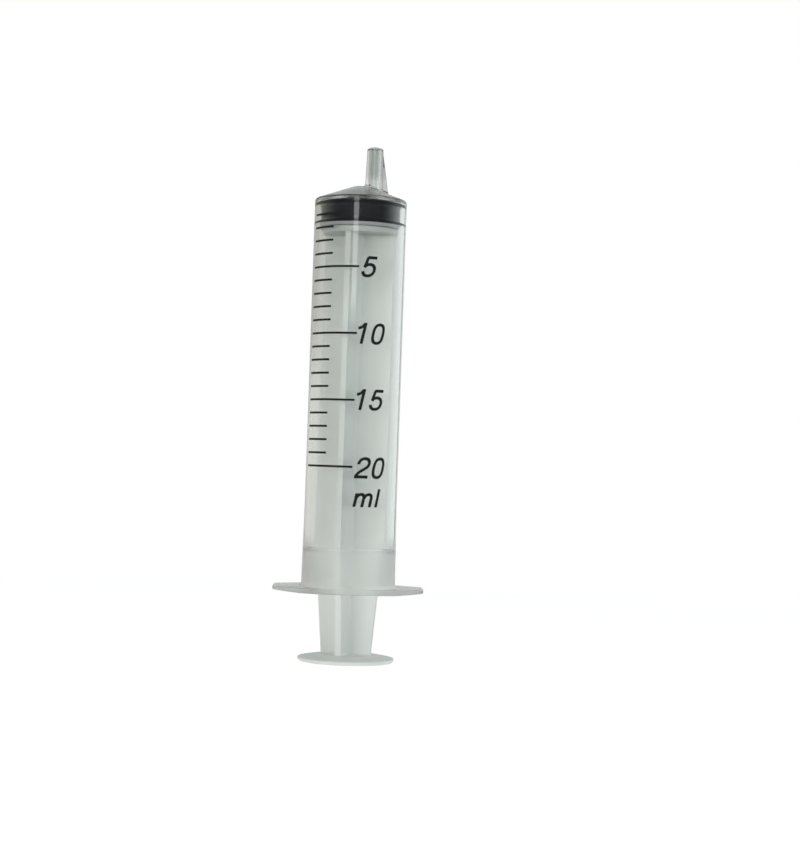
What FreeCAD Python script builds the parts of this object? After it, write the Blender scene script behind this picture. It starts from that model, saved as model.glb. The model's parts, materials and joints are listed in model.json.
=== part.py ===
import FreeCAD, Part
import math
import os

# A three-piece disposable syringe of 20 ml: a moulded barrel with an eccentric luer nozzle, a
# cross-ribbed plunger rod and a rubber seal on the rod's head. It stands on its thumb rest with
# the plunger pressed home. The origin is the centre of the thumb rest's underside, +Z points to
# the nozzle and +X lies along the finger flange. Sizes are in millimetres, angles in degrees.

# Barrel tube
bore_radius = 10.0
bore_length = 94.6
mouth_height = 16.8
barrel_wall = 1.2
mouth_thickening = 0.22
mouth_taper_length = 20.0
lead_in_depth = 1.1
lead_in_angle = 25.0

# Conical front shoulder
shoulder_angle = 20.3
shoulder_wall = 1.15
shoulder_edge_round = 0.7
crown_radius = 1.8
crown_round = 3.0

# Luer nozzle, a cone of 6 % taper beside the barrel's axis, with a thin web on its outer side
nozzle_offset = 3.1
nozzle_length = 9.97
luer_tip_radius = 1.97
luer_taper = 0.06
nozzle_tip_bevel = 0.4
nozzle_root_fillet = 0.9
web_top_depth = 1.0
web_foot_reach = 3.95
web_thickness = 1.3
web_edge_round = 0.4
nozzle_bore_radius = 1.05

# Finger flange, an oblong plate with bowed long sides
flange_length = 36.5
flange_width = 25.0
flange_tip_width = 9.0
flange_thickness = 1.35
flange_tip_thinning = 0.4
flange_corner_round = 2.5
flange_edge_bevel = 0.2
flange_foot_bevel = 0.7

# Two retaining beads inside the mouth: a stop and, deeper in, a slighter guide
stop_bead_place = 5.6
stop_bead_width = 2.0
stop_bead_depth = 0.25
guide_bead_place = 10.3
guide_bead_width = 1.2
guide_bead_depth = 0.2

# Thumb rest
thumb_rest_radius = 11.75
thumb_rest_edge = 1.0
thumb_rest_thickness = 1.8
thumb_rest_flat_radius = 7.0
thumb_rest_lower_bevel = 0.4
thumb_rest_upper_bevel = 0.2
grip_groove_count = 2
grip_groove_pitch = 3.0
grip_groove_first_radius = 5.2
grip_groove_width = 1.0
grip_groove_depth = 0.3

# Cross-ribbed plunger rod
rib_foot_radius = 6.25
rib_mouth_radius = 7.5
rib_bore_gap = 1.2
rib_flare_height = 10.5
rib_flare_round = 22.0
rib_axis_thickness = 2.0
rib_edge_thickness = 1.3
rib_core_fillet = 0.8
rib_foot_fillet = 0.7
rib_side_fillet = 0.5
rib_turn = -18.0

# Front disc of the rod, and the head that holds the seal
disc_bore_gap = 0.7
disc_thickness = 1.4
disc_edge_bevel = 0.3
neck_radius = 3.0
neck_length = 1.8
head_radius = 4.6
head_edge = 0.9
head_nose_radius = 2.2
head_nose_height = 2.3

# Rubber seal with two lips
seal_height = 6.0
seal_lip_height = 0.9
seal_back_lip_height = 0.65
seal_back_lip_place = 0.75
seal_groove_depth = 0.35
seal_lip_slope = 0.35
seal_back_bevel = 0.75

# Clearances
seal_running_clearance = 0.05
seal_front_clearance = 0.2
seal_back_clearance = 0.1
head_clearance = 0.1

# Overlap of a cutter past the face that it cuts, share of a side that one corner's arc may take,
# and how near two heights or points lie that are the same
cut_through = 1.0
arc_share = 0.49
same_place = 0.01

AXIS = FreeCAD.Vector(0, 0, 1)
ORIGIN = FreeCAD.Vector(0, 0, 0)


def slope(angle):
    """Rise per unit of run at an angle."""
    return math.tan(math.radians(angle))


# Heights that follow from the sizes
bore_front = mouth_height + bore_length
shoulder_rise = shoulder_wall / math.cos(math.radians(shoulder_angle))
tube_radius = bore_radius + barrel_wall
mouth_outer_radius = tube_radius + mouth_thickening
seal_edge_height = bore_front - seal_front_clearance
seal_back_height = seal_edge_height - seal_height
disc_front = seal_back_height - seal_back_clearance
disc_back = disc_front - disc_thickness


def inner_cone_height(radius):
    """Height of the shoulder's inner face at a distance from the axis."""
    return bore_front + (bore_radius - radius) * slope(shoulder_angle)


def outer_cone_height(radius):
    """Height of the shoulder's outer face at a distance from the axis."""
    return inner_cone_height(radius) + shoulder_rise


nozzle_tip = outer_cone_height(nozzle_offset) + nozzle_length


def luer_radius(height):
    """Outer radius of the nozzle's cone at a height."""
    return luer_tip_radius + (nozzle_tip - height) * luer_taper / 2


def corner_arc(before, corner, after, radius):
    """Start, middle and end of the arc that rounds one corner of an outline."""
    towards_before = (before - corner).normalize()
    towards_after = (after - corner).normalize()
    half_angle = towards_before.getAngle(towards_after) / 2
    reach = radius / math.tan(half_angle)
    room = arc_share * min(before.distanceToPoint(corner), after.distanceToPoint(corner))
    if reach > room:
        radius = radius * room / reach
        reach = room
    inwards = (towards_before + towards_after).normalize()
    centre_distance = radius / math.sin(half_angle)
    return (
        corner + towards_before * reach,
        corner + inwards * (centre_distance - radius),
        corner + towards_after * reach,
    )


def outline(corners):
    """Closed face in the XZ plane from (radius, height, rounding) corners."""
    points = [FreeCAD.Vector(radius, 0, height) for radius, height, rounding in corners]
    edges = []
    stretches = []
    for index, (radius, height, rounding) in enumerate(corners):
        here = points[index]
        if rounding:
            following = points[(index + 1) % len(points)]
            start, middle, end = corner_arc(points[index - 1], here, following, rounding)
            stretches.append((start, end))
            edges.append(Part.Arc(start, middle, end).toShape())
        else:
            stretches.append((here, here))
    for index, (start, end) in enumerate(stretches):
        following = stretches[(index + 1) % len(stretches)][0]
        edges.append(Part.LineSegment(end, following).toShape())
    return Part.Face(Part.Wire(Part.__sortEdges__(edges)))


def turned(corners):
    """Solid of revolution about Z from (radius, height, rounding) corners."""
    return outline(corners).revolve(ORIGIN, AXIS, 360)


def edges_where(shape, wanted):
    """Edges of a shape that pass a test of their box and their middle point."""
    found = []
    for edge in shape.Edges:
        middle = edge.valueAt((edge.FirstParameter + edge.LastParameter) / 2)
        if wanted(edge.BoundBox, middle):
            found.append(edge)
    return found


def flange_plan():
    """Outline of the flange seen along the axis: two bowed sides and two straight tips."""
    half_length = flange_length / 2
    half_tip = flange_tip_width / 2
    edges = []
    for side in (1, -1):
        tip = FreeCAD.Vector(side * half_length, side * half_tip, mouth_height)
        bow = FreeCAD.Vector(0, side * flange_width / 2, mouth_height)
        far_tip = FreeCAD.Vector(-side * half_length, side * half_tip, mouth_height)
        tip_below = FreeCAD.Vector(side * half_length, -side * half_tip, mouth_height)
        edges.append(Part.Arc(far_tip, bow, tip).toShape())
        edges.append(Part.LineSegment(tip, tip_below).toShape())
    return Part.Face(Part.Wire(Part.__sortEdges__(edges)))


def tip_relief(side):
    """Wedge that thins the flange's mouth side from the tube out to one tip."""
    near = side * mouth_outer_radius
    far = side * flange_length / 2
    back = -flange_width / 2
    below = mouth_height - cut_through
    face = Part.Face(
        Part.makePolygon(
            [
                FreeCAD.Vector(near, back, mouth_height),
                FreeCAD.Vector(far, back, mouth_height + flange_tip_thinning),
                FreeCAD.Vector(far, back, below),
                FreeCAD.Vector(near, back, below),
                FreeCAD.Vector(near, back, mouth_height),
            ]
        )
    )
    return face.extrude(FreeCAD.Vector(0, flange_width, 0))


def flange():
    """Oblong finger flange with rounded corners and bevelled rim, thinner towards its tips."""
    plate = flange_plan().extrude(AXIS * flange_thickness)
    corners = edges_where(plate, lambda box, middle: box.ZLength > flange_thickness / 2)
    plate = plate.makeFillet(flange_corner_round, corners)
    plate = plate.cut([tip_relief(1), tip_relief(-1)])

    def on_rim(box, middle):
        crease = box.XLength < same_place and abs(middle.x) < flange_length / 2 - same_place
        return box.ZLength < flange_thickness / 2 and not crease

    return plate.makeChamfer(flange_edge_bevel, edges_where(plate, on_rim))


def tube_and_shoulder():
    """Outside of the barrel: foot on the flange, tube, rounded edge and shallow cone."""
    flange_top = mouth_height + flange_thickness
    flange_middle = mouth_height + flange_thickness / 2
    foot_radius = mouth_outer_radius + flange_foot_bevel
    return turned(
        [
            (0, mouth_height, 0),
            (mouth_outer_radius, mouth_height, 0),
            (mouth_outer_radius, flange_middle, 0),
            (foot_radius, flange_middle, 0),
            (foot_radius, flange_top, 0),
            (mouth_outer_radius, flange_top + flange_foot_bevel, 0),
            (tube_radius, flange_top + mouth_taper_length, 0),
            (tube_radius, outer_cone_height(tube_radius), shoulder_edge_round),
            (crown_radius, outer_cone_height(crown_radius), crown_round),
            (0, outer_cone_height(crown_radius), 0),
        ]
    )


def nozzle_web():
    """Thin web from just below the nozzle's tip, leaning out towards the shoulder's edge."""
    web_top = nozzle_tip - web_top_depth
    top_reach = math.sqrt(luer_radius(web_top) ** 2 - web_thickness**2 / 4)
    side = -web_thickness / 2
    face = Part.Face(
        Part.makePolygon(
            [
                FreeCAD.Vector(nozzle_offset, side, bore_front),
                FreeCAD.Vector(nozzle_offset + web_foot_reach, side, bore_front),
                FreeCAD.Vector(nozzle_offset + top_reach, side, web_top),
                FreeCAD.Vector(nozzle_offset, side, web_top),
                FreeCAD.Vector(nozzle_offset, side, bore_front),
            ]
        )
    )
    web = face.extrude(FreeCAD.Vector(0, web_thickness, 0))

    def outer(box, middle):
        leaning = box.XLength > same_place and box.ZLength > same_place
        return leaning and middle.x > nozzle_offset + top_reach

    return web.makeFillet(web_edge_round, edges_where(web, outer))


def nozzle():
    """Luer cone, bevelled at its tip, with its web."""
    cone = Part.makeCone(
        luer_radius(bore_front),
        luer_tip_radius,
        nozzle_tip - bore_front,
        FreeCAD.Vector(nozzle_offset, 0, bore_front),
    )
    tip_edge = edges_where(cone, lambda box, middle: box.ZMin > nozzle_tip - same_place)
    return cone.makeChamfer(nozzle_tip_bevel, tip_edge).fuse(nozzle_web())


def bore():
    """Space inside the barrel: lead-in, retaining beads, bore and conical front."""
    lead_in_widening = (lead_in_depth + cut_through) * slope(lead_in_angle)
    corners = [
        (0, mouth_height - cut_through, 0),
        (bore_radius + lead_in_widening, mouth_height - cut_through, 0),
        (bore_radius, mouth_height + lead_in_depth, 0),
    ]
    beads = (
        (stop_bead_place, stop_bead_width, stop_bead_depth),
        (guide_bead_place, guide_bead_width, guide_bead_depth),
    )
    for place, width, depth in beads:
        middle = mouth_height + place
        corners += [
            (bore_radius, middle - width / 2, 0),
            (bore_radius - depth, middle, 0),
            (bore_radius, middle + width / 2, 0),
        ]
    corners += [
        (bore_radius, bore_front, 0),
        (crown_radius, inner_cone_height(crown_radius), 0),
        (0, inner_cone_height(crown_radius), 0),
    ]
    return turned(corners)


def nozzle_bore():
    """Channel from the bore's conical front through the nozzle's tip."""
    return Part.makeCylinder(
        nozzle_bore_radius,
        nozzle_tip - bore_front + cut_through,
        FreeCAD.Vector(nozzle_offset, 0, bore_front),
    )


def barrel():
    """The moulded barrel in one piece."""

    def at_nozzle_foot(box, middle):
        near_nozzle = math.hypot(middle.x - nozzle_offset, middle.y) < web_foot_reach
        return near_nozzle and box.ZMin > bore_front and box.ZMax < outer_cone_height(0)

    body = tube_and_shoulder().fuse([flange(), nozzle()]).removeSplitter()
    body = body.makeFillet(nozzle_root_fillet, edges_where(body, at_nozzle_foot))
    return body.cut([bore(), nozzle_bore()])


def cross_section(reach):
    """Cross of four ribs, thinner towards their edges, as a flat face at height zero."""
    rib_radius = bore_radius - rib_bore_gap
    narrowing = (rib_axis_thickness - rib_edge_thickness) / rib_radius
    half_axis = rib_axis_thickness / 2
    half_reach = (rib_axis_thickness - narrowing * reach) / 2
    arm = Part.Face(
        Part.makePolygon(
            [
                FreeCAD.Vector(-reach, -half_reach, 0),
                FreeCAD.Vector(0, -half_axis, 0),
                FreeCAD.Vector(reach, -half_reach, 0),
                FreeCAD.Vector(reach, half_reach, 0),
                FreeCAD.Vector(0, half_axis, 0),
                FreeCAD.Vector(-reach, half_reach, 0),
                FreeCAD.Vector(-reach, -half_reach, 0),
            ]
        )
    )
    other_arm = arm.copy()
    other_arm.rotate(ORIGIN, AXIS, 90)
    return arm.fuse(other_arm).removeSplitter()


def rod_envelope():
    """Outline of the rod turned about its axis: grooved thumb rest, tapered ribs, front disc."""
    rib_radius = bore_radius - rib_bore_gap
    disc_radius = bore_radius - disc_bore_gap
    corners = [(0, 0, 0)]
    for index in range(grip_groove_count):
        middle = grip_groove_first_radius + index * grip_groove_pitch
        corners += [
            (middle - grip_groove_width / 2, 0, 0),
            (middle, grip_groove_depth, 0),
            (middle + grip_groove_width / 2, 0, 0),
        ]
    corners += [
        (thumb_rest_radius - thumb_rest_lower_bevel, 0, 0),
        (thumb_rest_radius, thumb_rest_lower_bevel, 0),
        (thumb_rest_radius, thumb_rest_edge - thumb_rest_upper_bevel, 0),
        (thumb_rest_radius - thumb_rest_upper_bevel, thumb_rest_edge, 0),
        (thumb_rest_flat_radius, thumb_rest_thickness, 0),
        (rib_foot_radius, thumb_rest_thickness, rib_foot_fillet),
        (rib_mouth_radius, mouth_height, rib_flare_round),
        (rib_radius, mouth_height + rib_flare_height, rib_flare_round),
        (rib_radius, disc_back, 0),
        (disc_radius - disc_edge_bevel, disc_back, 0),
        (disc_radius, disc_back + disc_edge_bevel, 0),
        (disc_radius, disc_front - disc_edge_bevel, 0),
        (disc_radius - disc_edge_bevel, disc_front, 0),
        (0, disc_front, 0),
    ]
    return turned(corners)


def head_space(clearance):
    """Neck and head of the rod, grown all round by a clearance."""
    base = disc_front
    under_head = base + neck_length
    return turned(
        [
            (0, base - clearance, 0),
            (neck_radius + clearance, base - clearance, 0),
            (neck_radius + clearance, under_head - clearance, 0),
            (head_radius + clearance, under_head - clearance, 0),
            (head_radius + clearance, under_head + head_edge, 0),
            (head_nose_radius + clearance, under_head + head_nose_height + clearance, 0),
            (0, under_head + head_nose_height + clearance, 0),
        ]
    )


def ribs_and_slabs():
    """Cross of ribs between two slabs, filleted along its core and on the thumb rest."""
    reach = thumb_rest_radius + cut_through
    prism = cross_section(reach).extrude(AXIS * disc_front)

    def at_core(box, middle):
        return box.ZLength > disc_back and math.hypot(middle.x, middle.y) < rib_axis_thickness

    def at_thumb_rest(box, middle):
        level = box.ZLength < same_place and math.hypot(middle.x, middle.y) < reach + same_place
        return level and abs(middle.z - thumb_rest_thickness) < same_place

    prism = prism.makeFillet(rib_core_fillet, edges_where(prism, at_core))
    slab_radius = reach + cut_through
    slabs = [
        Part.makeCylinder(slab_radius, thumb_rest_thickness),
        Part.makeCylinder(slab_radius, disc_thickness, FreeCAD.Vector(0, 0, disc_back)),
    ]
    blank = prism.fuse(slabs).removeSplitter()
    return blank.makeFillet(rib_side_fillet, edges_where(blank, at_thumb_rest))


def plunger_rod():
    """Thumb rest, cross ribs, front disc and head, moulded in one piece."""
    blank = ribs_and_slabs()
    blank.rotate(ORIGIN, AXIS, rib_turn)
    return blank.common(rod_envelope()).fuse(head_space(0))


def plunger_seal():
    """Rubber piston with a front and a back lip, hollow for the rod's head."""
    lip_radius = bore_radius - seal_running_clearance
    groove_radius = lip_radius - seal_groove_depth
    front_lip_base = seal_edge_height - seal_lip_height
    back_lip_base = seal_back_height + seal_back_lip_place
    back_lip_top = back_lip_base + seal_back_lip_height
    crown_height = inner_cone_height(crown_radius) - seal_front_clearance
    body = turned(
        [
            (0, seal_back_height, 0),
            (lip_radius - seal_back_bevel, seal_back_height, 0),
            (lip_radius, back_lip_base, 0),
            (lip_radius, back_lip_top, 0),
            (groove_radius, back_lip_top + seal_lip_slope, 0),
            (groove_radius, front_lip_base - seal_lip_slope, 0),
            (lip_radius, front_lip_base, 0),
            (lip_radius, inner_cone_height(lip_radius) - seal_front_clearance, 0),
            (crown_radius, crown_height, 0),
            (0, crown_height, 0),
        ]
    )
    return body.cut(head_space(head_clearance))


def save(name, shape):
    """Write one piece as parts/NAME.step and print its form."""
    shape.exportStep(os.path.join("parts", name + ".step"))
    box = shape.BoundBox
    print(
        f"{name}: valid {shape.isValid()}, solids {len(shape.Solids)}, volume {shape.Volume:.1f} mm3, "
        f"faces {len(shape.Faces)}, heights {box.ZMin:.2f} to {box.ZMax:.2f}"
    )


def main():
    """Make every piece and write it to its own file."""
    os.makedirs("parts", exist_ok=True)
    save("barrel", barrel())
    save("plunger_rod", plunger_rod())
    save("plunger_seal", plunger_seal())


main()
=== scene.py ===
"""Looks of a 20 ml disposable syringe: clear barrel, milky plunger rod, black seal and printed scale."""

import json
import logging
import math
from dataclasses import dataclass
from enum import Enum
from typing import Iterable, Sequence, Union

import bmesh
import bpy
from mathutils import Matrix, Vector
from mathutils.geometry import delaunay_2d_cdt


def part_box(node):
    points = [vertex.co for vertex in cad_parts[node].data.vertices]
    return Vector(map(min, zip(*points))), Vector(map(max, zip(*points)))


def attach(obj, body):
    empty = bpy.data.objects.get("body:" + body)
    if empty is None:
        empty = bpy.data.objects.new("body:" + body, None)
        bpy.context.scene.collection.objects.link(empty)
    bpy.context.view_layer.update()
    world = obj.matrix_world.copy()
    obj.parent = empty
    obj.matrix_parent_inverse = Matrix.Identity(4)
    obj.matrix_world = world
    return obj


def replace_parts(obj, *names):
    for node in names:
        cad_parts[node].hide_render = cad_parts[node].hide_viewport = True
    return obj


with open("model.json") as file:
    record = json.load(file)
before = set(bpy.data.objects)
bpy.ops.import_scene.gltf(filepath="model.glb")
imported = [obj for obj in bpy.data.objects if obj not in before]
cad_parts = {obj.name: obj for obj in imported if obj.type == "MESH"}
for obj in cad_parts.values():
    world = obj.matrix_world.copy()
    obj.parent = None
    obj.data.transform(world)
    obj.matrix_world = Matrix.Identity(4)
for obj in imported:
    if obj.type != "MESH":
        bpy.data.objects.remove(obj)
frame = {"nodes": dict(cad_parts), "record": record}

log = logging.getLogger("syringe")

MM = 0.001

# Octaves of a noise pattern, and where its values mostly lie
NOISE_DETAIL = 3.0
NOISE_REACH = (0.3, 0.7)

# Places of a mixing node's colour inputs and of its colour output
MIX_FIRST = 6
MIX_SECOND = 7
MIX_RESULT = 2

# Flat print is cut in millimetres: reach of a cut past the print, and a gap that counts as closed
CUT_MARGIN = 1.0
CLOSED_GAP = 1e-5

Point = tuple[float, float]
Corner = tuple[float, float, float]
Colour = tuple[float, float, float]
ColourSource = Union[Colour, bpy.types.NodeSocket]


class Body(str, Enum):
    """Moving bodies that carry the scene's own pieces."""

    SEAL = "seal"
    BARREL = "barrel"


class Node(str, Enum):
    """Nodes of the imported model."""

    BARREL = "barrel"
    ROD = "plunger_rod"
    SEAL = "plunger_seal"


class Slot(str, Enum):
    """The record's material slots for the scene's own pieces."""

    SEAL = "seal_rubber"
    INK = "scale_ink"


class Blend(str, Enum):
    """How a colour goes over another."""

    COVER = "MIX"
    MULTIPLY = "MULTIPLY"


@dataclass(frozen=True)
class Zone:
    """Part of a moulding past a height, with a tint, a rougher surface or both.

    It comes in over the reach above the height, or below the height if the reach is negative.
    """

    height: float
    reach: float
    tint: Colour = (1.0, 1.0, 1.0)
    roughness: float = 0.0
    blend: Blend = Blend.MULTIPLY


class NodeGraph:
    """A tree of shader nodes, with helpers that fill it."""

    def __init__(self, tree: bpy.types.NodeTree) -> None:
        """Take the tree to fill."""
        self.tree = tree

    def node(self, kind: str, **settings: object) -> bpy.types.Node:
        """Add a node.

        Args:
            kind: Its type.
            **settings: Its properties.

        Returns:
            The node.
        """
        made = self.tree.nodes.new(kind)
        for name, value in settings.items():
            setattr(made, name, value)
        return made

    def link(self, source: bpy.types.NodeSocket, target: bpy.types.NodeSocket) -> None:
        """Join two sockets."""
        self.tree.links.new(source, target)

    def coordinates(self, kind: str) -> bpy.types.Node:
        """Take texture coordinates apart.

        Args:
            kind: Name of the coordinates.

        Returns:
            A node with the outputs X, Y and Z.
        """
        place = self.node("ShaderNodeTexCoord")
        split = self.node("ShaderNodeSeparateXYZ")
        self.link(place.outputs[kind], split.inputs["Vector"])
        return split

    def spread(
        self,
        value: bpy.types.NodeSocket,
        source: Point,
        target: Point = (0.0, 1.0),
        smooth: bool = False,
    ) -> bpy.types.NodeSocket:
        """Map a value from one range to another, without leaving the second.

        Args:
            value: The value.
            source: Where the value starts and ends.
            target: What it becomes there.
            smooth: Whether it eases in and out.

        Returns:
            The mapped value.
        """
        mapping = self.node("ShaderNodeMapRange", interpolation_type="SMOOTHSTEP" if smooth else "LINEAR")
        for name, number in zip(("From Min", "From Max", "To Min", "To Max"), (*source, *target)):
            mapping.inputs[name].default_value = number
        self.link(value, mapping.inputs["Value"])
        return mapping.outputs["Result"]

    def mixed(
        self,
        share: bpy.types.NodeSocket,
        first: ColourSource,
        second: ColourSource,
        blend: Blend = Blend.COVER,
    ) -> bpy.types.NodeSocket:
        """Put a colour over another.

        Args:
            share: Share of the second colour, from 0 to 1.
            first: The colour below, a constant or a socket.
            second: The colour over it, a constant or a socket.
            blend: How it goes over the first.

        Returns:
            The mixed colour.
        """
        mix = self.node("ShaderNodeMix", data_type="RGBA", blend_type=blend.value)
        self.link(share, mix.inputs["Factor"])
        for source, target in ((first, mix.inputs[MIX_FIRST]), (second, mix.inputs[MIX_SECOND])):
            if isinstance(source, bpy.types.NodeSocket):
                self.link(source, target)
            else:
                target.default_value = (*source, 1.0)
        return mix.outputs[MIX_RESULT]

    def blended(
        self,
        value: bpy.types.NodeSocket,
        source: Point,
        first: ColourSource,
        second: ColourSource,
    ) -> bpy.types.NodeSocket:
        """Ease from one colour to another while a value runs through a range."""
        return self.mixed(self.spread(value, source, smooth=True), first, second)


class SurfaceGraph(NodeGraph):
    """Node graph of one surface, with helpers for its patterns."""

    def __init__(self, name: str) -> None:
        """Start a material.

        Args:
            name: Name of the finish.
        """
        self.material = bpy.data.materials.new(name)
        self.material.use_nodes = True
        super().__init__(self.material.node_tree)
        self.shader = self.tree.nodes["Principled BSDF"]

    def set(self, **values: object) -> None:
        """Set constant values on the shader's own sockets, named with underscores for spaces."""
        for name, value in values.items():
            self.shader.inputs[name.replace("_", " ")].default_value = value

    def noise(self, size: float, stretch: float = 1.0) -> bpy.types.NodeSocket:
        """Add a noise pattern fixed to the piece.

        Args:
            size: Size of its spots in metres.
            stretch: How many times longer the spots are along the axis.

        Returns:
            The pattern's value, from 0 to 1.
        """
        place = self.node("ShaderNodeTexCoord")
        mapping = self.node("ShaderNodeMapping")
        mapping.inputs["Scale"].default_value = (1 / size, 1 / size, 1 / (size * stretch))
        pattern = self.node("ShaderNodeTexNoise")
        pattern.inputs["Scale"].default_value = 1.0
        pattern.inputs["Detail"].default_value = NOISE_DETAIL
        self.link(place.outputs["Object"], mapping.inputs["Vector"])
        self.link(mapping.outputs["Vector"], pattern.inputs["Vector"])
        return pattern.outputs["Fac"]

    def colour_between(self, pattern: bpy.types.NodeSocket, low: Colour, high: Colour) -> None:
        """Let the base colour run between two colours with a pattern.

        Args:
            pattern: Noise pattern.
            low: Colour where the pattern is low.
            high: Colour where it is high.
        """
        ramp = self.node("ShaderNodeValToRGB")
        for stop, place, colour in zip(ramp.color_ramp.elements, NOISE_REACH, (low, high)):
            stop.position = place
            stop.color = (*colour, 1.0)
        self.link(pattern, ramp.inputs["Fac"])
        self.link(ramp.outputs["Color"], self.shader.inputs["Base Color"])

    def roughness_between(self, pattern: bpy.types.NodeSocket, low: float, high: float) -> None:
        """Let the roughness run between two values with a pattern."""
        self.link(self.spread(pattern, NOISE_REACH, (low, high)), self.shader.inputs["Roughness"])

    def set_off(self, zone: Zone) -> None:
        """Give a zone its tint, and at least its roughness.

        Args:
            zone: The zone, on a surface whose colour and roughness have a pattern.
        """
        height = self.coordinates("Object").outputs["Z"]
        source = (zone.height, zone.height + zone.reach)
        colour = self.shader.inputs["Base Color"]
        share = self.spread(height, source)
        self.link(self.mixed(share, colour.links[0].from_socket, zone.tint, zone.blend), colour)
        roughness = self.shader.inputs["Roughness"]
        rougher = self.node("ShaderNodeMath", operation="MAXIMUM")
        self.link(roughness.links[0].from_socket, rougher.inputs[0])
        self.link(self.spread(height, source, (0.0, zone.roughness)), rougher.inputs[1])
        self.link(rougher.outputs["Value"], roughness)

    def let_light_through(self, tint: Colour) -> None:
        """Let the light of lamps and room through the surface unbent, onto what lies behind.

        Args:
            tint: Share of the light that passes one surface.
        """
        rays = self.node("ShaderNodeLightPath")
        passage = self.node("ShaderNodeBsdfTransparent")
        passage.inputs["Color"].default_value = (*tint, 1.0)
        choice = self.node("ShaderNodeMixShader")
        self.link(rays.outputs["Is Shadow Ray"], choice.inputs["Fac"])
        self.link(self.shader.outputs["BSDF"], choice.inputs[1])
        self.link(passage.outputs["BSDF"], choice.inputs[2])
        self.link(choice.outputs["Shader"], self.tree.nodes["Material Output"].inputs["Surface"])

    def relief(self, pattern: bpy.types.NodeSocket, depth: float, strength: float) -> None:
        """Raise the surface by a pattern, over any relief that it has already.

        Args:
            pattern: Height pattern from 0 to 1.
            depth: Height of the relief in metres.
            strength: Share of the relief that shows.
        """
        bump = self.node("ShaderNodeBump")
        bump.inputs["Distance"].default_value = depth
        bump.inputs["Strength"].default_value = strength
        self.link(pattern, bump.inputs["Height"])
        before = self.shader.inputs["Normal"]
        if before.is_linked:
            self.link(before.links[0].from_socket, bump.inputs["Normal"])
        self.link(bump.outputs["Normal"], before)


@dataclass(frozen=True)
class ClearPlastic:
    """Clear to milky moulded polypropylene."""

    name: str
    thin_tint: Colour
    deep_tint: Colour
    clearness: float
    haze: Point
    gloss: float
    gloss_roughness: float = 0.04
    flow_size: float = 2.6 * MM
    flow_stretch: float = 14.0
    flow_depth: float = 0.008 * MM
    flow_strength: float = 0.35
    grain_size: float = 0.35 * MM
    grain_depth: float = 0.002 * MM
    grain_strength: float = 0.3
    refraction: float = 1.49
    zones: tuple[Zone, ...] = ()
    passage: Colour | None = None

    def material(self) -> bpy.types.Material:
        """Make the material.

        Returns:
            Hazy plastic under a smooth skin, with flow marks along the moulding and a fine grain.
        """
        graph = SurfaceGraph(self.name)
        graph.set(
            IOR=self.refraction,
            Transmission_Weight=self.clearness,
            Coat_Weight=self.gloss,
            Coat_Roughness=self.gloss_roughness,
        )
        flow = graph.noise(self.flow_size, self.flow_stretch)
        graph.colour_between(flow, self.thin_tint, self.deep_tint)
        graph.roughness_between(flow, *self.haze)
        for zone in self.zones:
            graph.set_off(zone)
        graph.relief(flow, self.flow_depth, self.flow_strength)
        graph.relief(graph.noise(self.grain_size), self.grain_depth, self.grain_strength)
        if self.passage:
            graph.let_light_through(self.passage)
        return graph.material


@dataclass(frozen=True)
class SealRubber:
    """Black butyl rubber, smooth from its mould and wiped with silicone oil."""

    name: str = "seal_rubber"
    dark: Colour = (0.002, 0.0028, 0.0038)
    bloom: Colour = (0.005, 0.007, 0.009)
    bloom_size: float = 1.8 * MM
    roughness: Point = (0.3, 0.42)
    refraction: float = 1.52
    shine: float = 0.2
    # Pale band on the back edge: a painted highlight on the black rubber
    painted_back_edge_highlight: Zone = Zone(106.0 * MM, -0.15 * MM, (0.42, 0.43, 0.44), 0.5, Blend.COVER)
    grain_size: float = 0.22 * MM
    grain_depth: float = 0.006 * MM
    grain_strength: float = 0.4

    def material(self) -> bpy.types.Material:
        """Make the material.

        Returns:
            Satin rubber with a faint bloom, a fine grain and a painted highlight on its back edge.
        """
        graph = SurfaceGraph(self.name)
        graph.set(IOR=self.refraction, Specular_IOR_Level=self.shine)
        bloom = graph.noise(self.bloom_size)
        graph.colour_between(bloom, self.dark, self.bloom)
        graph.roughness_between(bloom, *self.roughness)
        graph.set_off(self.painted_back_edge_highlight)
        graph.relief(graph.noise(self.grain_size), self.grain_depth, self.grain_strength)
        return graph.material


@dataclass(frozen=True)
class PrintInk:
    """Black screen ink."""

    name: str = "scale_ink"
    full: Colour = (0.006, 0.007, 0.006)
    starved: Colour = (0.02, 0.022, 0.02)
    roughness: Point = (0.4, 0.6)
    refraction: float = 1.5
    shine: float = 0.15
    screen_size: float = 0.16 * MM
    screen_depth: float = 0.004 * MM
    screen_strength: float = 0.5

    def material(self) -> bpy.types.Material:
        """Make the material.

        Returns:
            Ink that is a little uneven where the screen laid it thin.
        """
        graph = SurfaceGraph(self.name)
        graph.set(IOR=self.refraction, Specular_IOR_Level=self.shine)
        screen = graph.noise(self.screen_size)
        graph.colour_between(screen, self.full, self.starved)
        graph.roughness_between(screen, *self.roughness)
        graph.relief(screen, self.screen_depth, self.screen_strength)
        return graph.material


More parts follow.
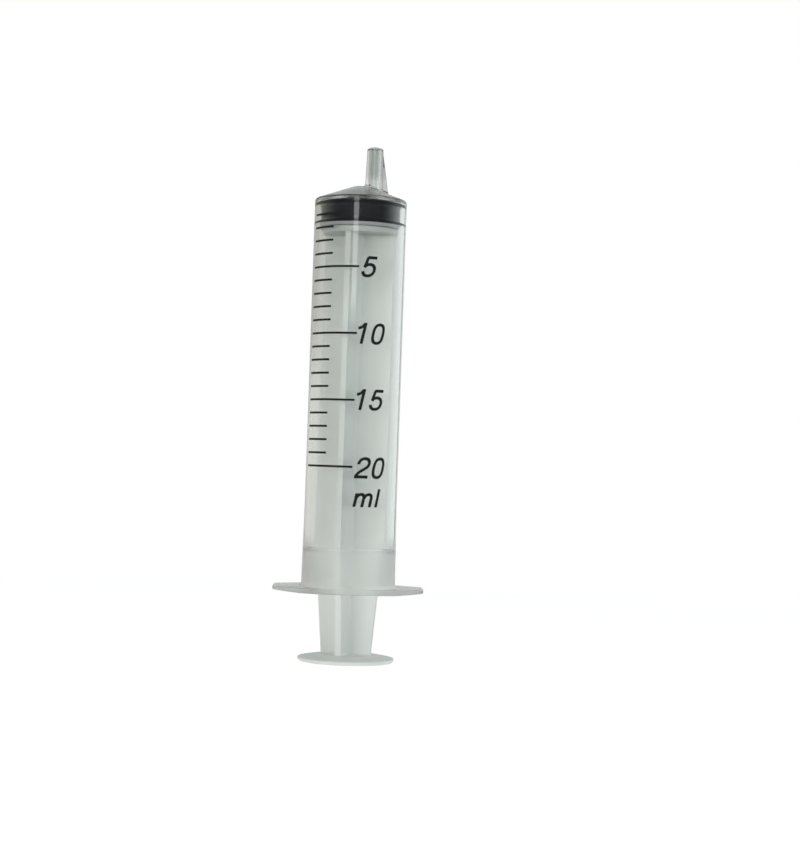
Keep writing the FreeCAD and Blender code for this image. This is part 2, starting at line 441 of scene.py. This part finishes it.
@dataclass(frozen=True)
class StagePaper:
    """White studio paper, bright enough to read as a plain background."""

    name: str = "stage_paper"
    white: Colour = (0.86, 0.86, 0.86)
    shade: Colour = (0.83, 0.83, 0.83)
    roughness: Point = (0.8, 0.95)
    shine: float = 0.1
    tooth_size: float = 1.2 * MM
    tooth_depth: float = 0.02 * MM
    tooth_strength: float = 0.2
    glow_colour: Colour = (1.0, 1.0, 1.0)
    glow: float = 0.3
    seen_glow: float = 0.62

    def material(self) -> bpy.types.Material:
        """Make the material.

        Returns:
            Matt paper with a faint tooth.
        """
        graph = SurfaceGraph(self.name)
        graph.set(Specular_IOR_Level=self.shine, Emission_Color=(*self.glow_colour, 1.0))
        seen = graph.node("ShaderNodeLightPath").outputs["Is Camera Ray"]
        glow = graph.spread(seen, (0.0, 1.0), (self.glow, self.seen_glow))
        graph.link(glow, graph.shader.inputs["Emission Strength"])
        tooth = graph.noise(self.tooth_size)
        graph.colour_between(tooth, self.shade, self.white)
        graph.roughness_between(tooth, *self.roughness)
        graph.relief(tooth, self.tooth_depth, self.tooth_strength)
        return graph.material


def dress_node(node: Node, finish: bpy.types.Material) -> bpy.types.Object:
    """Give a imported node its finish.

    Args:
        node: The node.
        finish: Its material.

    Returns:
        The node's object.
    """
    piece = frame["nodes"][node.value]
    piece.data.materials.clear()
    piece.data.materials.append(finish)
    return piece


def new_piece(
    name: str,
    mesh: bpy.types.Mesh,
    body: Body,
    finish: bpy.types.Material,
) -> bpy.types.Object:
    """Place a new mesh on a body.

    Args:
        name: Name of the piece.
        mesh: Its mesh, in the row frame.
        body: The body that it moves with.
        finish: Its material.

    Returns:
        The piece.
    """
    piece = bpy.data.objects.new(name, mesh)
    bpy.context.scene.collection.objects.link(piece)
    mesh.materials.append(finish)
    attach(piece, body.value)
    return piece


def finished_mesh(shape: bmesh.types.BMesh, name: str) -> bpy.types.Mesh:
    """Keep a worked shape as a mesh.

    Args:
        shape: The shape, which is used up.
        name: Name of the mesh.

    Returns:
        The mesh.
    """
    mesh = bpy.data.meshes.new(name)
    shape.to_mesh(mesh)
    shape.free()
    return mesh


@dataclass
class Barrel:
    """The barrel moulding with its flange, shoulder and nozzle."""

    finish: ClearPlastic = ClearPlastic(
        name="barrel_plastic",
        thin_tint=(0.975, 0.985, 0.975),
        deep_tint=(0.955, 0.97, 0.955),
        clearness=0.997,
        haze=(0.05, 0.09),
        gloss=0.2,
        zones=(
            # Frosted mouth
            Zone(33.0 * MM, -10.0 * MM, roughness=0.5),
            # Shoulder
            Zone(110.7 * MM, 1.0 * MM, roughness=0.17),
            # Nozzle: rougher, and darkened with painted shade
            Zone(117.0 * MM, 1.5 * MM, (0.8, 0.81, 0.8), 0.22),
        ),
        passage=(0.985, 0.995, 0.985),
    )

    def build(self) -> list[bpy.types.Object]:
        """Dress the barrel's node."""
        return [dress_node(Node.BARREL, self.finish.material())]


@dataclass
class PlungerRod:
    """The plunger rod with its thumb rest, ribs, disc and head."""

    finish: ClearPlastic = ClearPlastic(
        name="rod_plastic",
        thin_tint=(0.95, 0.975, 0.955),
        deep_tint=(0.925, 0.95, 0.93),
        clearness=0.2,
        haze=(0.38, 0.48),
        gloss=0.25,
        gloss_roughness=0.15,
        zones=(
            # Foot and thumb rest, darkened with painted shade
            Zone(23.0 * MM, -7.0 * MM, (0.9, 0.91, 0.9)),
            # Ribs in the seal's shade
            Zone(84.0 * MM, 20.0 * MM, (0.79, 0.8, 0.79)),
            # Front disc, darkened with painted shade from the seal
            Zone(103.0 * MM, 0.7 * MM, (0.84, 0.85, 0.85)),
        ),
    )

    def build(self) -> list[bpy.types.Object]:
        """Dress the rod's node."""
        return [dress_node(Node.ROD, self.finish.material())]


@dataclass
class PlungerSeal:
    """The rubber seal, whose rounded lips press on the bore."""

    finish: SealRubber = SealRubber()
    lip_bite: float = 0.058 * MM
    lip_height: float = 0.9 * MM
    back_lip_height: float = 0.65 * MM
    back_lip_place: float = 0.75 * MM
    back_bevel: float = 0.75 * MM
    groove_depth: float = 0.35 * MM
    lip_slope: float = 0.35 * MM
    cone_angle: float = 20.3
    crown_radius: float = 1.8 * MM
    edge_round: float = 0.16 * MM
    neck_radius: float = 3.1 * MM
    neck_height: float = 1.6 * MM
    head_radius: float = 4.7 * MM
    head_edge: float = 1.0 * MM
    head_nose_radius: float = 2.3 * MM
    head_nose_height: float = 1.5 * MM
    round_steps: int = 4
    segments: int = 96

    def outline(self) -> list[Corner]:
        """Lay out the half section, from the pocket round the outside.

        Returns:
            Its corners as (radius, height, rounding).
        """
        low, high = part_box(Node.SEAL.value)
        lip = high.x + self.lip_bite
        groove = high.x - self.groove_depth
        back = low.z
        front = high.z
        edge = front - (high.x - self.crown_radius) * math.tan(math.radians(self.cone_angle))
        back_lip = back + self.back_lip_place
        back_top = back_lip + self.back_lip_height
        front_lip = edge - self.lip_height
        under_head = back + self.neck_height
        over_edge = under_head + self.head_edge
        fine = self.edge_round
        return [
            (0.0, over_edge + self.head_nose_height, 0.0),
            (self.head_nose_radius, over_edge + self.head_nose_height, fine),
            (self.head_radius, over_edge, fine),
            (self.head_radius, under_head, fine),
            (self.neck_radius, under_head, fine),
            (self.neck_radius, back, fine),
            (lip - self.back_bevel, back, 2 * fine),
            (lip, back_lip, fine),
            (lip, back_top, fine),
            (groove, back_top + self.lip_slope, 2 * fine),
            (groove, front_lip - self.lip_slope, 2 * fine),
            (lip, front_lip, fine),
            (lip, edge, fine),
            (self.crown_radius, front, 4 * fine),
            (0.0, front, 0.0),
        ]

    def build(self) -> list[bpy.types.Object]:
        """Turn the seal's section into a mesh that stands for its node.

        Returns:
            The seal's piece.
        """
        points = rounded(self.outline(), self.round_steps)
        mesh = lathe("seal_mesh", points, self.segments)
        piece = new_piece("seal_body", mesh, Body.SEAL, self.finish.material())
        return [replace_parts(piece, Node.SEAL.value)]


def rounded(corners: Sequence[Corner], steps: int, share: float = 0.45) -> list[Point]:
    """Round the corners of an open outline.

    Args:
        corners: (x, y, rounding) of each corner, with rounding 0 at both ends.
        steps: Straight pieces in each rounding.
        share: Largest share of a side that one rounding takes.

    Returns:
        The outline's points.
    """
    points: list[Point] = []
    for index, (x, y, rounding) in enumerate(corners):
        here = Vector((x, y))
        if rounding == 0.0:
            points.append((x, y))
            continue
        before = Vector(corners[index - 1][:2]) - here
        after = Vector(corners[index + 1][:2]) - here
        reach = min(rounding, share * before.length, share * after.length)
        start = here + before.normalized() * reach
        end = here + after.normalized() * reach
        for step in range(steps + 1):
            t = step / steps
            bend = start * (1 - t) ** 2 + here * (2 * t * (1 - t)) + end * t**2
            points.append((bend.x, bend.y))
    return points


def lathe(name: str, points: Sequence[Point], segments: int) -> bpy.types.Mesh:
    """Turn a half section about the axis into a closed, smooth mesh.

    Args:
        name: Name of the mesh.
        points: (radius, height) from the axis back to the axis.
        segments: Pieces round the axis.

    Returns:
        The mesh.
    """
    shape = bmesh.new()
    rings: list[list[bmesh.types.BMVert]] = []
    for radius, height in points:
        if radius == 0.0:
            rings.append([shape.verts.new((0.0, 0.0, height))])
            continue
        ring = []
        for index in range(segments):
            angle = 2 * math.pi * index / segments
            ring.append(shape.verts.new((radius * math.cos(angle), radius * math.sin(angle), height)))
        rings.append(ring)
    for lower, upper in zip(rings, rings[1:]):
        for index in range(segments):
            following = (index + 1) % segments
            corners = [
                lower[index % len(lower)],
                lower[following % len(lower)],
                upper[following % len(upper)],
                upper[index % len(upper)],
            ]
            shape.faces.new(list(dict.fromkeys(corners)))
    bmesh.ops.recalc_face_normals(shape, faces=shape.faces)
    for face in shape.faces:
        face.smooth = True
    return finished_mesh(shape, name)


@dataclass(frozen=True)
class Bend:
    """One stretch of a pen stroke, as a cubic curve in units of the figures' height."""

    start: Point
    lead: Point
    follow: Point
    end: Point

    def points(self, steps: int) -> list[Point]:
        """Sample the curve.

        Args:
            steps: Straight pieces that stand for it.

        Returns:
            Its points, one more than the steps.
        """
        found = []
        for step in range(steps + 1):
            t = step / steps
            weights = ((1 - t) ** 3, 3 * t * (1 - t) ** 2, 3 * t * t * (1 - t), t**3)
            corners = (self.start, self.lead, self.follow, self.end)
            x = sum(weight * corner[0] for weight, corner in zip(weights, corners))
            y = sum(weight * corner[1] for weight, corner in zip(weights, corners))
            found.append((x, y))
        return found


def straight(start: Point, end: Point) -> Bend:
    """Make a straight stretch of a pen stroke.

    Args:
        start: Its start.
        end: Its end.

    Returns:
        The stretch.
    """
    third = ((2 * start[0] + end[0]) / 3, (2 * start[1] + end[1]) / 3)
    two_thirds = ((start[0] + 2 * end[0]) / 3, (start[1] + 2 * end[1]) / 3)
    return Bend(start, third, two_thirds, end)


class Figure(Enum):
    """Plain sans figures and letters as pen strokes, in units of the figures' height."""

    ZERO = (
        (
            Bend((0.39, 0.945), (0.63, 0.945), (0.65, 0.72), (0.65, 0.5)),
            Bend((0.65, 0.5), (0.65, 0.28), (0.63, 0.055), (0.39, 0.055)),
            Bend((0.39, 0.055), (0.15, 0.055), (0.13, 0.28), (0.13, 0.5)),
            Bend((0.13, 0.5), (0.13, 0.72), (0.15, 0.945), (0.39, 0.945)),
        ),
    )
    ONE = (
        (straight((0.44, 0.0), (0.44, 1.0)),),
        (Bend((0.13, 0.74), (0.28, 0.76), (0.37, 0.84), (0.41, 0.97)),),
    )
    TWO = (
        (
            Bend((0.12, 0.66), (0.12, 0.84), (0.22, 0.94), (0.38, 0.94)),
            Bend((0.38, 0.94), (0.54, 0.94), (0.64, 0.85), (0.64, 0.7)),
            Bend((0.64, 0.7), (0.64, 0.42), (0.16, 0.4), (0.11, 0.06)),
        ),
        (straight((0.05, 0.065), (0.7, 0.065)),),
    )
    FIVE = (
        (straight((0.2, 0.935), (0.66, 0.935)),),
        (straight((0.23, 0.95), (0.15, 0.47)),),
        (
            Bend((0.14, 0.46), (0.2, 0.58), (0.3, 0.61), (0.38, 0.61)),
            Bend((0.38, 0.61), (0.56, 0.61), (0.65, 0.5), (0.65, 0.34)),
            Bend((0.65, 0.34), (0.65, 0.17), (0.53, 0.06), (0.36, 0.06)),
            Bend((0.36, 0.06), (0.22, 0.06), (0.13, 0.14), (0.11, 0.27)),
        ),
    )
    SMALL_M = (
        (straight((0.07, 0.0), (0.07, 0.65)),),
        (
            Bend((0.08, 0.4), (0.13, 0.55), (0.2, 0.6), (0.28, 0.6)),
            Bend((0.28, 0.6), (0.395, 0.6), (0.45, 0.53), (0.45, 0.42)),
            straight((0.45, 0.42), (0.45, 0.0)),
        ),
        (
            Bend((0.46, 0.4), (0.51, 0.55), (0.58, 0.6), (0.66, 0.6)),
            Bend((0.66, 0.6), (0.775, 0.6), (0.83, 0.53), (0.83, 0.42)),
            straight((0.83, 0.42), (0.83, 0.0)),
        ),
    )
    SMALL_L = ((straight((0.07, 0.0), (0.07, 0.87)),),)


@dataclass(frozen=True)
class Label:
    """One printed number or unit and its place on the print's flat sheet."""

    name: str
    figures: tuple[Figure, ...]
    left: float
    height_on_barrel: float
    advance: float


@dataclass
class PrintedScale:
    """The graduation, numbers and unit, printed on the barrel's side that faces the camera."""

    finish: PrintInk = PrintInk()
    zero_height: float = 110.95 * MM
    millilitre: float = 3.183 * MM
    millilitres: int = 20
    long_every: int = 5
    line_width: float = 0.5 * MM
    line_start: float = -71.0
    short_end: float = -34.3
    long_end: float = 0.4
    figure_height: float = 5.0 * MM
    figure_stroke: float = 0.73 * MM
    figure_advance: float = 3.95 * MM
    slant: float = 12.0
    unit_left: float = 0.38 * MM
    unit_height: float = 37.8 * MM
    unit_advance: float = 5.5 * MM
    ink_inner_gap: float = 0.015 * MM
    ink_thickness: float = 0.035 * MM
    widest_facet: float = 0.35 * MM
    shortest_step: float = 0.01 * MM
    curve_steps: int = 9

    def __post_init__(self) -> None:
        """Read the tube's radius from the record's mount."""
        mounts = {mount["name"]: mount for mount in frame["record"]["mounts"]}
        self.tube_radius = mounts["barrel_outside"]["dims"]["r_mm"] * MM

    def labels(self) -> list[Label]:
        """List the numbers beside their long lines, and the unit below them.

        Returns:
            The labels, from the nozzle's end of the barrel.
        """
        # Value, figures, left edge on the flat sheet and how far the middle is below the line
        numbers = (
            (5, (Figure.FIVE,), 0.165 * MM, 0.0),
            (10, (Figure.ONE, Figure.ZERO), -1.05 * MM, 0.0),
            (15, (Figure.ONE, Figure.FIVE), -0.835 * MM, -0.14 * MM),
            (20, (Figure.TWO, Figure.ZERO), 0.25 * MM, 0.16 * MM),
        )
        made = []
        for value, figures, left, drop in numbers:
            middle = self.zero_height - value * self.millilitre - drop
            foot = middle - self.figure_height / 2
            made.append(Label(f"scale_number_{value}", figures, left, foot, self.figure_advance))
        unit = (Figure.SMALL_M, Figure.SMALL_L)
        made.append(Label("scale_unit", unit, self.unit_left, self.unit_height, self.unit_advance))
        return made

    def line_sheet(self) -> list[list[Point]]:
        """Lay out the graduation lines.

        Returns:
            Flat quads of (arc length, height) in metres.
        """
        quads = []
        for value in range(1, self.millilitres + 1):
            end = self.long_end if value % self.long_every == 0 else self.short_end
            left = self.tube_radius * math.radians(self.line_start)
            right = self.tube_radius * math.radians(end)
            middle = self.zero_height - value * self.millilitre
            low = middle - self.line_width / 2
            high = middle + self.line_width / 2
            quads.append([(left, low), (right, low), (right, high), (left, high)])
        return quads

    def stroke_sheet(self, stroke: Iterable[Bend]) -> list[list[Point]]:
        """Widen one pen stroke.

        Args:
            stroke: Its stretches, in units of the figures' height.

        Returns:
            Flat quads along the stroke, upright and unplaced, in metres.
        """
        path: list[Vector] = []
        for stretch in stroke:
            for x, y in stretch.points(self.curve_steps):
                point = Vector((x, y)) * self.figure_height
                if not path or (point - path[-1]).length > self.shortest_step:
                    path.append(point)
        closed = (path[0] - path[-1]).length < self.shortest_step
        if closed:
            path.pop()
        half = self.figure_stroke / 2
        sides = []
        for index, here in enumerate(path):
            before = path[index - 1] if closed or index else here
            after = path[(index + 1) % len(path)] if closed or index + 1 < len(path) else here
            along = (after - before).normalized()
            across = Vector((-along.y, along.x)) * half
            sides.append((here - across, here + across))
        count = len(sides) if closed else len(sides) - 1
        quads = []
        for index in range(count):
            near, far = sides[index], sides[(index + 1) % len(sides)]
            quads.append([tuple(near[0]), tuple(far[0]), tuple(far[1]), tuple(near[1])])
        return quads

    def label_sheet(self, label: Label) -> list[list[Point]]:
        """Lay out one label, slanted.

        Args:
            label: The number or unit.

        Returns:
            Flat quads of (arc length, height) in metres.
        """
        lean = math.tan(math.radians(self.slant))
        quads = []
        for place, figure in enumerate(label.figures):
            left = label.left + place * label.advance
            for stroke in figure.value:
                for quad in self.stroke_sheet(stroke):
                    quads.append([(left + x + lean * y, label.height_on_barrel + y) for x, y in quad])
        return quads

    def joined(self, quads: Sequence[Sequence[Point]]) -> tuple[list[Vector], list[list[int]]]:
        """Join flat quads into one outline and cut it upright into strips, so that it can bend.

        Args:
            quads: Flat quads of (arc length, height) in metres, which may overlap.

        Returns:
            Its points in millimetres, and its faces as lists of point numbers.
        """
        points = [Vector(corner) / MM for quad in quads for corner in quad]
        faces = [list(range(4 * index, 4 * index + 4)) for index in range(len(quads))]
        low_x, high_x = min(p.x for p in points), max(p.x for p in points)
        low_y, high_y = min(p.y for p in points), max(p.y for p in points)
        cuts = math.ceil((high_x - low_x) * MM / self.widest_facet)
        edges = []
        for cut in range(1, cuts):
            x = low_x + (high_x - low_x) * cut / cuts
            edges.append((len(points), len(points) + 1))
            points += [Vector((x, low_y - CUT_MARGIN)), Vector((x, high_y + CUT_MARGIN))]
        flat, _, flat_faces, _, _, origins = delaunay_2d_cdt(points, edges, faces, 0, CLOSED_GAP)
        return flat, [face for face, origin in zip(flat_faces, origins) if origin]

    def wrap(self, name: str, quads: Sequence[Sequence[Point]]) -> bpy.types.Mesh:
        """Bend flat quads, as a thin coat of ink, round the tube.

        Args:
            name: Name of the mesh.
            quads: Flat quads of (arc length, height) in metres, which may overlap.

        Returns:
            A closed mesh on the barrel's surface.
        """
        flat, inked = self.joined(quads)
        inside = self.tube_radius - self.ink_inner_gap
        outside = self.tube_radius + self.ink_thickness - self.ink_inner_gap
        shape = bmesh.new()
        layers = []
        for radius in (inside, outside):
            layer = {}
            for index in sorted({index for face in inked for index in face}):
                azimuth = flat[index].x * MM / self.tube_radius
                corner = (radius * math.sin(azimuth), -radius * math.cos(azimuth), flat[index].y * MM)
                layer[index] = shape.verts.new(corner)
            layers.append(layer)
        inner, outer = layers
        for face in inked:
            shape.faces.new([outer[index] for index in face])
            shape.faces.new([inner[index] for index in reversed(face)])
        sides = dict.fromkeys(side for face in inked for side in zip(face, [*face[1:], face[0]]))
        for start, end in sides:
            if (end, start) not in sides:
                shape.faces.new([outer[end], outer[start], inner[start], inner[end]])
        bmesh.ops.recalc_face_normals(shape, faces=shape.faces)
        return finished_mesh(shape, name)

    def build(self) -> list[bpy.types.Object]:
        """Print the lines, numbers and unit on the barrel.

        Returns:
            The pieces of ink.
        """
        ink = self.finish.material()
        sheets = {"scale_lines": self.line_sheet()}
        for label in self.labels():
            sheets[label.name] = self.label_sheet(label)
        pieces = []
        for name, quads in sheets.items():
            mesh = self.wrap(name + "_mesh", quads)
            pieces.append(new_piece(name, mesh, Body.BARREL, ink))
        return pieces


@dataclass(frozen=True)
class SoftBox:
    """A rectangular studio light that faces the syringe."""

    name: str
    azimuth: float
    distance: float
    bottom: float
    top: float
    spread: float
    radiance: float
    colour: Colour = (1.0, 1.0, 1.0)
    mirrored: bool = True

    def build(self) -> bpy.types.Object:
        """Hang the light.

        Returns:
            The light, at its azimuth from the camera's side towards +X.
        """
        width = 2 * self.distance * math.tan(math.radians(self.spread / 2))
        height = self.top - self.bottom
        data = bpy.data.lights.new(self.name, "AREA")
        data.shape = "RECTANGLE"
        data.size = width
        data.size_y = height
        data.energy = self.radiance * math.pi * width * height
        data.color = self.colour
        light = bpy.data.objects.new(self.name, data)
        light.visible_glossy = self.mirrored
        light.visible_transmission = self.mirrored
        bpy.context.scene.collection.objects.link(light)
        turn = math.radians(self.azimuth)
        middle = (self.bottom + self.top) / 2
        light.location = (self.distance * math.sin(turn), -self.distance * math.cos(turn), middle)
        inwards = Vector((-light.location.x, -light.location.y, 0.0))
        light.rotation_euler = inwards.to_track_quat("-Z", "Y").to_euler()
        return light


@dataclass(frozen=True)
class Room:
    """Surroundings of the stage: a bright room, dim above the table in front.

    The left side's height and every edge give where one colour runs into the next, as X, Y or Z
    of a direction of length 1.
    """

    left_low: Colour = (0.68, 0.685, 0.64)
    left_high: Colour = (0.47, 0.46, 0.42)
    left_height: Point = (0.02, 0.09)
    middle: Colour = (0.54, 0.57, 0.56)
    left_edge: Point = (-0.4, -0.05)
    right: Colour = (0.79, 0.84, 0.835)
    right_edge: Point = (0.15, 0.42)
    table: Colour = (0.72, 0.75, 0.745)
    front: Colour = (0.085, 0.09, 0.095)
    table_edge: Point = (-0.13, -0.01)
    front_edge: Point = (-0.5, 0.3)
    sheet: Colour = (1.0, 1.0, 1.0)

    def build(self) -> bpy.types.World:
        """Surround the stage.

        Returns:
            The room, which the camera sees as a plain white sheet.
        """
        world = bpy.data.worlds.new("room")
        world.use_nodes = True
        graph = NodeGraph(world.node_tree)
        graph.tree.nodes.clear()
        along = graph.coordinates("Generated").outputs
        left = graph.blended(along["Z"], self.left_height, self.left_low, self.left_high)
        far = graph.blended(along["X"], self.left_edge, left, self.middle)
        sides = graph.blended(along["X"], self.right_edge, far, self.right)
        near = graph.blended(along["Z"], self.table_edge, self.table, self.front)
        around = graph.blended(along["Y"], self.front_edge, near, sides)
        seen = graph.node("ShaderNodeLightPath").outputs["Is Camera Ray"]
        colour = graph.mixed(seen, around, self.sheet)
        background = graph.node("ShaderNodeBackground")
        output = graph.node("ShaderNodeOutputWorld")
        graph.link(colour, background.inputs["Color"])
        graph.link(background.outputs["Background"], output.inputs["Surface"])
        bpy.context.scene.world = world
        return world


@dataclass
class Studio:
    """Pale floor, soft lights, surroundings and camera."""

    paper: StagePaper = StagePaper()
    floor_radius: float = 0.26
    floor_segments: int = 128
    room: Room = Room()
    camera_distance: float = 448.0 * MM
    camera_height: float = 49.02 * MM
    camera_yaw: float = 1.45757
    camera_pitch: float = 0.92357
    camera_roll: float = 1.9279
    camera_lens: float = 76.67
    camera_sensor: float = 36.0
    camera_near: float = 0.01
    softboxes: tuple[SoftBox, ...] = (
        SoftBox(
            name="key_box",
            azimuth=-10.5,
            distance=0.55,
            bottom=0.13,
            top=0.5,
            spread=12.6,
            radiance=2.0,
        ),
        SoftBox(
            name="left_fill",
            azimuth=-42.0,
            distance=0.6,
            bottom=0.0,
            top=0.2,
            spread=40.0,
            radiance=5.2,
            colour=(1.0, 0.99, 0.96),
            mirrored=False,
        ),
        SoftBox(
            name="right_fill",
            azimuth=42.0,
            distance=0.6,
            bottom=0.0,
            top=0.2,
            spread=40.0,
            radiance=4.3,
            colour=(0.97, 1.0, 1.0),
            mirrored=False,
        ),
    )

    def floor(self) -> bpy.types.Object:
        """Lay the paper that the syringe stands on.

        Returns:
            The paper.
        """
        shape = bmesh.new()
        segments = self.floor_segments
        bmesh.ops.create_circle(shape, cap_ends=True, radius=self.floor_radius, segments=segments)
        mesh = finished_mesh(shape, "floor_mesh")
        mesh.materials.append(self.paper.material())
        floor = bpy.data.objects.new("floor", mesh)
        bpy.context.scene.collection.objects.link(floor)
        return floor

    def camera(self) -> bpy.types.Object:
        """Place the camera at the photograph's viewing angle.

        Returns:
            The camera.
        """
        yaw = math.radians(self.camera_yaw)
        pitch = math.radians(self.camera_pitch)
        roll = math.radians(self.camera_roll)
        level = Vector((math.cos(yaw), -math.sin(yaw), 0.0))
        ahead = Vector((math.sin(yaw) * math.cos(pitch), math.cos(yaw) * math.cos(pitch), math.sin(pitch)))
        upright = level.cross(ahead)
        right = level * math.cos(roll) + upright * math.sin(roll)
        up = upright * math.cos(roll) - level * math.sin(roll)
        data = bpy.data.cameras.new("camera")
        data.lens = self.camera_lens
        data.sensor_width = self.camera_sensor
        data.clip_start = self.camera_near
        camera = bpy.data.objects.new("camera", data)
        bpy.context.scene.collection.objects.link(camera)
        place = Matrix((right, up, -ahead)).transposed().to_4x4()
        place.translation = (0.0, -self.camera_distance, self.camera_height)
        camera.matrix_world = place
        bpy.context.scene.camera = camera
        return camera

    def build(self) -> None:
        """Set up the floor, lights, surroundings, camera and plain colour management."""
        self.floor()
        self.room.build()
        for softbox in self.softboxes:
            softbox.build()
        self.camera()
        bpy.context.scene.view_settings.view_transform = "Standard"


def main() -> None:
    """Build and dress every sub-assembly, then the studio."""
    logging.basicConfig(level=logging.INFO, format="%(name)s: %(message)s")
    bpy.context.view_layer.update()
    for part in (Barrel(), PlungerRod(), PlungerSeal(), PrintedScale()):
        for piece in part.build():
            log.info("%s: %d faces, %s", piece.name, len(piece.data.polygons), piece.data.materials[0].name)
    Studio().build()


if __name__ == "__main__":
    main()
